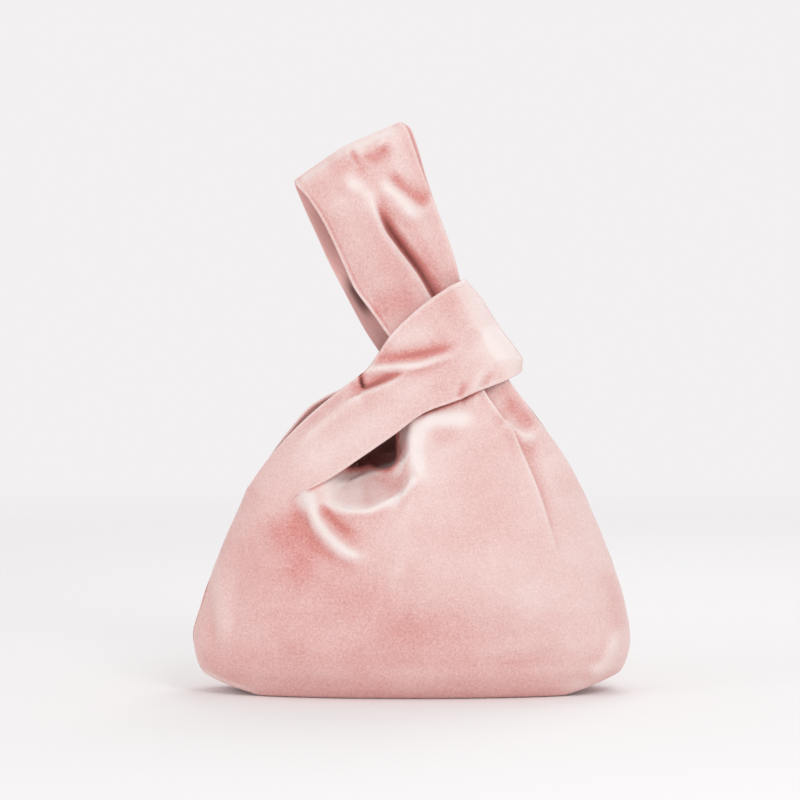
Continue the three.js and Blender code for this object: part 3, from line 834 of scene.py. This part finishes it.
def backRelief(x, y, z):
    across = ((x - backDent["x"]) / backDent["width"]) ** 2
    dent = backDent["depth"] * np.exp(-across - ((z - backDent["z"]) / backDent["height"]) ** 2)
    return foldsAt(x, z, backFolds) - dent + swellAt(x, -y, z, *backSwells) * ease(z, *slackFrom)


def pouchPoint(x, z, relief):
    y = -bulge(shareAt(x, z), z)
    p = np.stack([x, y, z], -1) + outward(x, y, z) * relief(x, y, z)[..., None]
    p[..., 1] = np.minimum(p[..., 1], -halfSeam)
    return p


def columnShare(u, z):
    # the share of the width that a column stands at; one column runs along the pleat
    own = round(pleat["columnShare"] * (pouch["columns"] - 1)) / (pouch["columns"] - 1)
    wanted = np.arccos(1 - 2 * pleatShare(z)) / math.pi
    turned = np.where(u < own, u * wanted / own, 1 - (1 - u) * (1 - wanted) / (1 - own))
    return (1 - np.cos(math.pi * turned)) / 2


def columnX(u, z):
    return mix(leftAt(z), rightAt(z), columnShare(u, z))


def onArc(x):
    across = x - shoulder["x"]
    return shoulder["z"] - np.sqrt(np.maximum(shoulder["radius"] ** 2 - across**2, 0))


def panelTop(u, rim):
    z = np.full_like(u, shoulder["z"] - shoulder["radius"])
    low = np.minimum(u, pouch["mouthLeft"])
    for _ in range(shoulder["rounds"]):
        z = onArc(columnX(low, z))
    edge = through(rim["u"], rim["z"])(u)
    blended = mix(z, edge, ease(u, pouch["mouthLeft"], pouch["mouthLeft"] + pouch["shoulderBlend"]))
    return np.where(u <= pouch["mouthLeft"], z, blended)


def panelBottom(u):
    return baseRise(columnX(u, np.zeros_like(u))) + cloth["velvet"] * pouch["hemShare"]


def panelGrid(rim, relief):
    u = np.linspace(0, 1, pouch["columns"])
    v = np.linspace(0, 1, pouch["rows"])[:, None]
    z = mix(panelBottom(u), panelTop(u, rim), v)
    x = columnX(np.broadcast_to(u, z.shape), z)
    nearWall = np.exp(-(((u - mouthWall["share"]) / mouthWall["reach"]) ** 2))
    x = x - mouthWall["drawn"] * nearWall * ease(z, *mouthWall["z"]) * (1 - ease(z, *mouthWall["back"]))
    return pouchPoint(x, z, relief), u


def pileLightAndShadeOf(grid, base, paintedLightAndShade, seed):
    # how the pile lies, from brushed down (0) to brushed up (1), with painted light and shade in it: lighter on
    # crests and where the cloth leans towards the lamp at the upper right, darker in dips, and painted shade
    # below 0
    n = facing(grid)
    smooth = grid.copy()
    for _ in range(pileAndLight["smoothing"]):
        smooth[1:-1, 1:-1] = (smooth[:-2, 1:-1] + smooth[2:, 1:-1] + smooth[1:-1, :-2] + smooth[1:-1, 2:]) / 4
    raised = ((grid - smooth) * n).sum(-1)
    x, y, z = grid[..., 0], grid[..., 1], grid[..., 2]
    # painted light: lighter where the cloth faces the lamp
    facingLamp = np.clip(n @ np.array(pileAndLight["lampDirection"]) - pileAndLight["level"], *pileAndLight["facingLampRange"])
    patches = unevenness(x, y, z, pileAndLight["patchSize"], seed) * pileAndLight["patches"]
    drawn = foldsAt(x, seenHeight(y, z), paintedLightAndShade)
    crest = np.clip(raised * pileAndLight["crest"], *pileAndLight["crestRange"])
    return np.clip(base + crest + patches + facingLamp * pileAndLight["facingLamp"] + drawn, -1, 1)


def dress(name, grid, backwards, edges, pileLightAndShade, liningEdges, liningShade=None, gaps=(halfSeam,) * 3, thinned=1):
    # a velvet sheet and its satin lining; gaps are how near the middle each layer may come
    inner = under(grid, cloth["velvet"], gaps[0])
    outerPiece = clothObject(f"{name}Velvet", grid, inner, velvet, backwards, edges, pileLightAndShade)
    depths = (cloth["velvet"] + cloth["plyGap"], wall)
    layers = [under(grid, depth, gap)[::thinned, ::2] for depth, gap in zip(depths, gaps[1:])]
    shade = liningShade(layers[0]) if liningShade else None
    liningPiece = clothObject(f"{name}Lining", *layers, satin, backwards, liningEdges, shade)
    return {"velvet": outerPiece, "lining": liningPiece, "grid": grid}


def dressPanel(side, rim, relief, paintedLightAndShade, seed):
    grid, u = panelGrid(rim, relief)
    arc = (u <= pouch["mouthLeft"])[::-1][:-1]
    edges = (1, 0, np.where(arc, 0, 1), 0)
    pileLightAndShade = pileLightAndShadeOf(grid, pileLightAndShadeLevels["pouch"], paintedLightAndShade, seed)
    # painted shade: the pouch's linings are darkened all over
    dark = lambda layer: np.full(layer.shape[:2], -pileLightAndShadeLevels["inside"])
    made = dress(f"{side}Panel", grid, side == "back", edges, pileLightAndShade, cloth["liningEdge"], dark, thinned=2)
    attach(made["velvet"], "bag")
    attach(made["lining"], "bag")
    return made


panels = {
    "front": dressPanel("front", pouch["frontRim"], mouthRelief, pouchLightAndShade, 1),
    "back": dressPanel("back", pouch["backRim"], backRelief, (), 4),
}
declareSides(panels, "velvet", ["outer_{side}"], pouch["cut"], "baseVelvet")
declareSides(panels, "lining", ["lining_{side}"], pouch["cut"], "baseVelvet")
frontGrid, backGrid = (panels[side]["grid"] for side in ("front", "back"))
print("front and back panels are sewn")

# The base

base = {
    "rows": 41,
    "soleInset": 2.2,
    "liningInset": 3.4,
    "liningEdge": 0.5,
    "halfGap": 0.4,
    "sags": (0.55, 0.2),  # shares of the corners' lift at the left and at the right
    "sagTurns": (-60, 60),
    "sagGrows": (2, 50),
    "cut": {"velvet": (245, 95), "lining": (240, 90)},
}


def baseGrid(frontRow, backRow, inset, up):
    v = np.linspace(0, 1, base["rows"])[:, None]
    x = mix(frontRow[:, 0], backRow[:, 0], v) * (1 - inset / pouch["baseEnd"])
    front = np.minimum(frontRow[:, 1] + inset, -base["halfGap"])
    back = np.maximum(-backRow[:, 1] - inset, base["halfGap"])
    y = mix(front, back, v)
    sag = mix(*base["sags"], ease(x, *base["sagTurns"])) * ease(back - front, *base["sagGrows"])
    z = baseRise(x) * (1 - sag * np.sin(math.pi * v)) + up
    return np.stack([x, y, z], -1)[::-1]


def dressBase():
    rows = frontGrid[0], backGrid[0]
    sole, deck = (baseGrid(*rows, base["soleInset"], up) for up in (0, cloth["velvet"]))
    heights = (cloth["velvet"] + cloth["plyGap"], wall)
    lower, upper = (baseGrid(*rows, base["liningInset"], up) for up in heights)
    # painted light: the base's underside starts lighter
    pileLightAndShade = pileLightAndShadeOf(sole, pileLightAndShadeLevels["base"], (), 2)
    outerPiece = clothObject("baseVelvet", sole, deck, velvet, pileLightAndShade=pileLightAndShade)
    liningPiece = clothObject("baseLining", lower, upper, satin, roundness=base["liningEdge"])
    for piece in (outerPiece, liningPiece):
        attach(piece, "bag")
    declare(["outer_base"], base["cut"]["velvet"], "paperFloor", sole)
    declare(["lining_base"], base["cut"]["lining"], "baseVelvet", sole)


dressBase()
print("base is sewn in")

# The short handle

shortHandle = {
    # where each row's lower and upper edges are, how far the lower edge stands off the pouch,
    # half the depth of the upper edge and how far the middle crowns
    "rows": [
        ((-48.4, 128.4), (-80, 143.5), 0.8, 6.4, 3.6),
        ((-31.8, 139.6), (-61, 163), 1.6, 6, 3.2),
        ((-12, 153), (-43.5, 177.6), 3.6, 6.6, 3.8),
        ((7.8, 166.8), (-26.5, 190.5), 5, 10.4, 3.6),
        ((25, 173.2), (-12, 211), 4.6, knotDepth, 1.2),
        ((40.3, 179.6), (7, 229), 4.4, knotDepth, 1),
        ((54, 184.6), (23, 240), 3.2, knotDepth, 0.8),
    ],
    "fold": [(31.4, 243.6), (41, 232.5), (52.6, 214.2), (61.6, 202.5), (65.4, 196), (65, 189.6)],
    "alongRows": 110,
    "roundRows": 16,
    "columns": 61,
    "leavesPouch": 0.32,
    "startFades": 0.3,
    "backHighDepths": (6, 2.8, 2.4, 7),
    # how far the back strap's upper edge stands out beyond the front one's, by shares of its length
    "backSpread": ((0, 0.1, 0.2, 0.31, 0.38, 0.45, 1), (0, 0.5, 2, 3.8, 2.5, 0, 0)),
    "spreadsTo": (-0.7, 0.7),
    "bend": {"start": (-0.0775, 0, 0.1215), "end": (-0.0815, 0, 0.15)},  # in metres
    "swells": {"front": (30, 11, 0.5), "back": (30, 15, 0.6)},
    "cut": {"velvet": [(70, 200)] * 2, "lining": [(68, 200)] * 2},
}
bandFolds = [
    # the lower half bulges over the upper one, in front
    step(-3.6, 5, 17, (-30, 189.3), (-24.1, 191.4), (-8, 192.6), (3.4, 194), (12.8, 197), (22.3, 200),
         (33, 206), fade=(0, 0.5)),
    fold(1.6, (3, 2.2), (-29.5, 189), (-24.1, 190.4), (-8, 191.4), (3.4, 192.8), (12.8, 195.6), (22.3, 198.6),
         (33, 204.5), fade=(0, 0.5)),
    # the pocket at its left end, and the notch beside it
    step(-5.2, 1.4, 7, (-30, 176.8), (-19.2, 181), (-9.8, 185.4), (-2, 190), fade=(0, 0.45)),
    fold(-2.2, 1.4, (-28.2, 188.8), (-29.6, 184), (-28.2, 178.6), fade=(0.6, 0.2)),
    fold(1.6, (5.5, 3), (-29, 178.1), (-43.8, 168.1), (-57.9, 156.8), (-74, 142), fade=(0.1, 0.4)),
    fold(-0.8, 4, (-38, 181), (-52, 170), (-68, 153), fade=(0.3, 0.4)),
    fold(-1, 1.8, (28, 176), (29.6, 180), (33, 185), fade=(0, 0.6)),
    fold(-0.9, 2, (42, 181), (45, 186), (49, 191), fade=(0, 0.6)),
    fold(0.7, 2.6, (36, 178), (39, 186), (44, 194), fade=(0, 0.6)),
    fold(0.9, 7, (20, 235), (34, 222), (44, 206)),
    fold(0.7, 6, (-16, 172), (4, 180), (24, 190)),
]
bandBackFolds = [
    fold(-2.2, 5, (-20, 186), (4, 190), (26, 200), (40, 214), fade=(0.3, 0.4)),
    fold(1.4, 5, (-60, 150), (-30, 172), (0, 186), fade=(0.3, 0.4)),
    fold(1, 3, (36, 184), (42, 196), (44, 212), fade=(0.1, 0.5)),
]


def shortHandleGrid(side, folds, pouchRelief, spread=np.zeros_like, highDepths=()):
    lows, highs, offs, ownDepths, crowns = zip(*shortHandle["rows"])
    w = np.linspace(0, 1, shortHandle["columns"])
    t = np.linspace(0, 1, shortHandle["alongRows"])
    u = w * pouch["mouthLeft"]
    startZ = panelTop(u, pouch["frontRim"])
    startX = columnX(u, startZ)
    knots = np.linspace(0, 1, len(lows) + 1)
    low = along([(startX[-1], startZ[-1]), *lows])(t)
    high = along([(startX[0], startZ[0]), *highs])(t)
    high = high + spread(t)[:, None] * np.array(shortHandle["spreadsTo"])
    flat = mix(high[:, None], low[:, None], w[None, :, None])
    start = np.stack([startX, startZ], -1)
    straight = mix(start[0], start[-1], w[:, None])
    flat = flat + (start - straight)[None] * (1 - ease(t, 0, shortHandle["startFades"]))[:, None, None]
    x, z = flat[..., 0], flat[..., 1]
    lowX, lowZ = np.transpose(lows)
    lowDepths = bulge(shareAt(lowX, lowZ), lowZ) + offs
    highDepths = [*highDepths, *ownDepths[len(highDepths):]]
    startDepth = bulge(shareAt(startX, startZ), startZ)
    lowDepth = through(knots, [startDepth[-1], *lowDepths])(t)[:, None]
    highDepth = through(knots, [startDepth[0], *highDepths])(t)[:, None]
    crown = through(knots, [crowns[0], *crowns])(t)[:, None]
    relief = foldsAt(x, z, folds) + swellAt(x, 0 * x, z, shortHandle["swells"][side])
    own = mix(highDepth, lowDepth, w) + crown * 4 * w * (1 - w) + relief
    away = ease(t, 0, shortHandle["leavesPouch"])[:, None]
    onPouch = pouchPoint(x, z, pouchRelief)
    loose = np.stack([x, -own, z], -1)
    face = mix(onPouch, loose, away[..., None])
    foldLine = along(shortHandle["fold"])(w)
    last = face[-1]
    turned = []
    for angle in np.linspace(0, math.pi / 2, shortHandle["roundRows"] + 1)[1:]:
        turned.append(np.stack([
            mix(last[:, 0], foldLine[:, 0], math.sin(angle)),
            last[:, 1] * math.cos(angle),
            mix(last[:, 2], foldLine[:, 1], math.sin(angle)),
        ], -1))
    grid = np.concatenate([face, np.array(turned)])
    grid[..., 1] = np.minimum(grid[..., 1], -halfSeam)
    return grid


edgeLight = {"left": 0.22, "right": 0.12}  # the turned edges of a strap catch the light


# the pile value, with painted highlights on the strap's turned edges
def strapPileAndLight(grid, base, paintedLightAndShade, seed):
    pileLightAndShade = pileLightAndShadeOf(grid, base, paintedLightAndShade, seed)
    pileLightAndShade[:, :2] += edgeLight["left"]
    pileLightAndShade[:, -2:] += edgeLight["right"]
    return np.clip(pileLightAndShade, -1, 1)


def dressShortHandle(side, grid, paintedLightAndShade, seed):
    edges = (0, 1, 0, 1)
    pileLightAndShade = strapPileAndLight(grid, pileLightAndShadeLevels["pouch"], paintedLightAndShade, seed)
    made = dress(f"shortHandle{side.capitalize()}", grid, side == "back", edges, pileLightAndShade, edges)
    for kind in ("velvet", "lining"):
        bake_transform(made[kind])
    return made


bandGrid = shortHandleGrid("front", bandFolds, frontRelief)
bandBackGrid = shortHandleGrid("back", bandBackFolds, backRelief, through(*shortHandle["backSpread"]),
                               shortHandle["backHighDepths"])
bands = {
    "front": dressShortHandle("front", bandGrid, bandLightAndShade, 1),
    "back": dressShortHandle("back", bandBackGrid, bandBackLightAndShade, 4),
}
bandCut = shortHandle["cut"]
declareSides(bands, "velvet", ["short_handle_{side}"], bandCut, "{side}PanelVelvet")
declareSides(bands, "lining", ["short_handle_lining_{side}"], bandCut, "shortHandle{Side}Velvet")
print("short handle is laid across and folded")

# The long handle

longHandle = {
    # left edge, right edge, the pleat's edge between them, and the depths of the left edge, of the
    # layer up to the pleat, past the pleat and at the right
    "rows": [
        ((-2.6, 194.4), (42.6, 197.4), (30.6, 197), (6, 6.3, 4.4, 4.8)),
        ((-6.5, 200), (37.6, 206), (26.4, 205.6), (6, 6.4, 4, 4.6)),
        ((-14.2, 211.8), (30.4, 224.4), (17.6, 221.2), (5.2, 6.2, 2.4, 3.8)),
        ((-24.2, 226), (27.8, 243.3), (9.6, 236), (3.8, 5.2, 0.8, 3.4)),
        ((-33.8, 239), (24.8, 256), (1.8, 248.6), (3.8, 7.2, 0.8, 3.6)),
        ((-40.2, 253), (18.8, 273.4), (-8.4, 262.1), (5.6, 10.5, 1.2, 4.6)),
        ((-47.6, 269.2), (12.4, 290.6), (-16.8, 274.2), (8, 13, 5, 5.6)),
        ((-54.4, 282.2), (6.2, 306), (-22.6, 288), (9.5, 14.5, 9.6, 6.4)),
        ((-61, 292.2), (0.8, 321.4), (-28.2, 303.5), (7.5, 13.2, 12, 6.4)),
        ((-67.4, 299.4), (-3.8, 333.2), (-38, 318.8), (5, 8.6, 8.4, 5)),
        ((-68.6, 301.8), (-7, 336.6), (-41.2, 321.9), (0.6, 0.6, 0.6, 0.6)),
    ],
    "knots": (0, 0.09, 0.17, 0.27, 0.36, 0.47, 0.58, 0.7, 0.81, 0.95, 1),
    "along": 150,
    "gathered": 0.35,  # how far the rows gather towards the top
    "columns": 81,
    "pleatColumn": 42,
    "layerCurve": 0.8,
    "valley": 9.6,
    "behindRidge": 0.85,
    "farFrom": 0.55,
    "drops": (14, 1.4),  # how wide the soft and the crisp drop past the pleat are
    "crispUntil": (0.56, 0.76),
    "softenedTop": {"from": 0.86, "passes": 40},
    "foldsUntil": 0.93,
    "roundedTop": 0.09,
    "leastDepth": 0.75,
    "gaps": (0.15, 0.1, 0.08),
    "swells": {"front": (28, 21, 0.4), "back": (28, 25, 0.4)},
    "cut": {"velvet": [(66, 150), (68, 150)], "lining": [(64, 148), (66, 148)]},
}
loopFolds = [
    fold(-2.2, (3.2, 1.2), (-37.5, 322), (-34.5, 316), (-30, 310), fade=(0.1, 0.5)),
    fold(-1.8, 3.6, (-32, 317), (-24, 315), (-17, 319), (-11, 326), fade=(0.3, 0.4)),
    fold(0.9, 2, (-21.8, 320), (-15, 328.5)),
    fold(-2.4, (5.6, 3.4), (-16, 308), (-8, 300), (0, 293.4), (9, 286.4), fade=(0.3, 0.2)),
    fold(1.8, 4.6, (-22, 305), (-13, 294.5), (-5, 285), (6, 277), fade=(0.3, 0.3)),
    fold(1.2, 5, (-44, 306), (-36, 299.5), (-28, 293), fade=(0.3, 0.5)),
    fold(0.7, 6, (-30, 262), (-22, 246), (-12, 232)),
    fold(-0.4, 0.8, *hemLine, fade=(0.1, 0.05)),
]
loopBackFolds = [
    fold(-1.8, 5, (-20, 320), (-12, 296), (4, 268), fade=(0.2, 0.4)),
    fold(1.2, 6, (-46, 300), (-34, 276), (-16, 246), fade=(0.3, 0.4)),
]
backStrap = {
    "left": [(-9, 191), (-14, 195), (-25.6, 211), (-33.4, 225), (-40.2, 238), (-48.6, 254), (-56, 270),
             (-62.6, 284.4), (-66.8, 294.6), (-69, 300.4), (-69.2, 302.4)],
    "rightOut": (0, 0, 0, 0, -0.4, -0.6, 0, 1.2, 2.2, 2, 0.6),
    "depths": (6, 5.4, 4.6, 3.4, 3.6, 6, 9, 11, 10.4, 6.6, 0.6),
    "rightDepth": 2.2,
}


def longHandleGrid(side, rows, folds):
    look = longHandle
    t = np.linspace(0, 1, look["along"])
    t = mix(t, np.sin(t * math.pi / 2), look["gathered"])
    left, right, pleatLine, depths = (along(values, look["knots"])(t) for values in zip(*rows))
    columns, own = look["columns"], look["pleatColumn"]
    w = np.linspace(0, 1, columns)
    first = np.clip(w * (columns - 1) / own, 0, 1)
    second = np.clip((w * (columns - 1) - own) / (columns - 1 - own), 0, 1)
    flat = (mix(left[:, None], pleatLine[:, None], first[None, :, None])
            + (right - pleatLine)[:, None] * second[None, :, None])
    # no corner at the top where the pleat has run out
    soft = flat.copy()
    for _ in range(look["softenedTop"]["passes"]):
        soft[:, 1:-1] = (soft[:, :-2] + 2 * soft[:, 1:-1] + soft[:, 2:]) / 4
    flat = mix(flat, soft, ease(t, look["softenedTop"]["from"], 1)[:, None, None])
    x, z = flat[..., 0], flat[..., 1]
    edge, layer, valley, far = (depths[:, i:i + 1] for i in range(4))
    room = np.linalg.norm(right - pleatLine, axis=1)[:, None]
    past = second * room
    depth = mix(edge, layer, np.sin(first * math.pi / 2) ** look["layerCurve"])
    swell = ease(past / np.minimum(look["valley"], room))
    beyond = mix(valley, np.maximum(far, layer * look["behindRidge"]), swell)
    beyond = mix(beyond, far, ease(second, look["farFrom"], 1))
    # the front strap's pleat is crisp from the knot up, then soft towards the top
    crisp = 1 - ease(t, *look["crispUntil"])[:, None] if side == "front" else 0.0
    softDrop, crispDrop = (ease(past / drop) for drop in look["drops"])
    depth = np.where(second > 0, mix(layer, beyond, mix(softDrop, crispDrop, crisp)), depth)
    relief = foldsAt(x, z, folds) + swellAt(x, 0 * x, z, look["swells"][side])
    depth = depth + relief * (1 - ease(t, look["foldsUntil"], 1)[:, None])
    grid = np.stack([x, -np.maximum(depth, look["leastDepth"]), z], -1)
    top = np.clip((1 - t) / look["roundedTop"], 0, 1)[:, None]
    grid[..., 1] = -halfSeam + (grid[..., 1] + halfSeam) * np.sqrt(np.clip(1 - (1 - top) ** 2, 0, 1))
    return grid


def dressLongHandle(side, grid, paintedLightAndShade, seed, shade):
    edges = (1, 1, 0, 1)
    pileLightAndShade = strapPileAndLight(grid, pileLightAndShadeLevels["loop"], paintedLightAndShade, seed)
    shaded = lambda layer: foldsAt(layer[..., 0], layer[..., 2], shade)
    made = dress(f"longHandle{side.capitalize()}", grid, side == "back", edges, pileLightAndShade, edges, shaded,
                 longHandle["gaps"])
    for kind in ("velvet", "lining"):
        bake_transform(made[kind])
    return made


def backRows():
    rows = []
    columns = (backStrap[name] for name in ("left", "rightOut", "depths"))
    for (_, right, pleatPoint, _), left, out, depth in zip(longHandle["rows"], *columns):
        depths = (depth, depth, depth, min(depth, backStrap["rightDepth"]))
        rows.append((left, (right[0] + out, right[1]), pleatPoint, depths))
    return rows


loopGrid = longHandleGrid("front", longHandle["rows"], loopFolds)
loopBackGrid = longHandleGrid("back", backRows(), loopBackFolds)
loops = {
    "front": dressLongHandle("front", loopGrid, loopLightAndShade, 9, ()),
    "back": dressLongHandle("back", loopBackGrid, (), 12, shadeBetweenStraps),
}
declareSides(loops, "velvet", ["long_handle_foot_{side}", "long_handle_{side}"], longHandle["cut"],
             "shortHandle{Side}Velvet")
declareSides(loops, "lining", ["long_handle_foot_lining_{side}", "long_handle_lining_{side}"],
             longHandle["cut"], "longHandle{Side}Velvet")
print("long handle stands in the knot")

# Seams

seams = {
    "sizes": {"base": 0.9, "side": 1.1, "handle": 0.9},
    "hemInset": (1.6, 1.7),  # how far the base's seam lies in from the panels' ends and faces
    "hemLeast": 0.3,
    "sideInset": 0.5,
    "foldInset": 0.3,
    "topInset": 0.4,
}


def sewSeam(name, path, kind, node, body, side=(0, 1, 0), closed=False):
    piece = threadObject(name, path, seams["sizes"][kind], side, closed)
    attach(piece, body)
    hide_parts(node)


def hemPath(grid):
    row = grid[0].copy()
    row[:, 0] *= 1 - seams["hemInset"][0] / pouch["baseEnd"]
    row[:, 1] = np.minimum(row[:, 1] + seams["hemInset"][1], -seams["hemLeast"])
    return row


def sewSeams():
    flat = (1, 0, 1)
    aside, inFold, below = (seams[name] for name in ("sideInset", "foldInset", "topInset"))
    right = frontGrid[:, -1]
    right = right[right[:, 2] < pouch["slitFrom"]]
    hem = np.concatenate([hemPath(frontGrid), (hemPath(backGrid) * (1, -1, 1))[-2:0:-1]])
    sewSeam("sideSeamLeft", frontGrid[:-1, 0] * flat + (aside, 0, 0), "side", "side_seam_left", "bag")
    sewSeam("sideSeamRight", right * flat - (aside, 0, 0), "side", "side_seam_right", "bag")
    sewSeam("baseSeam", hem, "base", "base_seam", "bag", (0, 0, 1), True)
    inside = bandGrid[-1] * flat - (inFold, 0, 0)
    top = loopGrid[-1] * flat - (0, 0, below)
    sewSeam("shortHandleSeam", inside, "handle", "short_handle_seam", "short_handle")
    sewSeam("longHandleSeam", top, "handle", "long_handle_seam", "handle_loop")


sewSeams()
print("seams are closed")
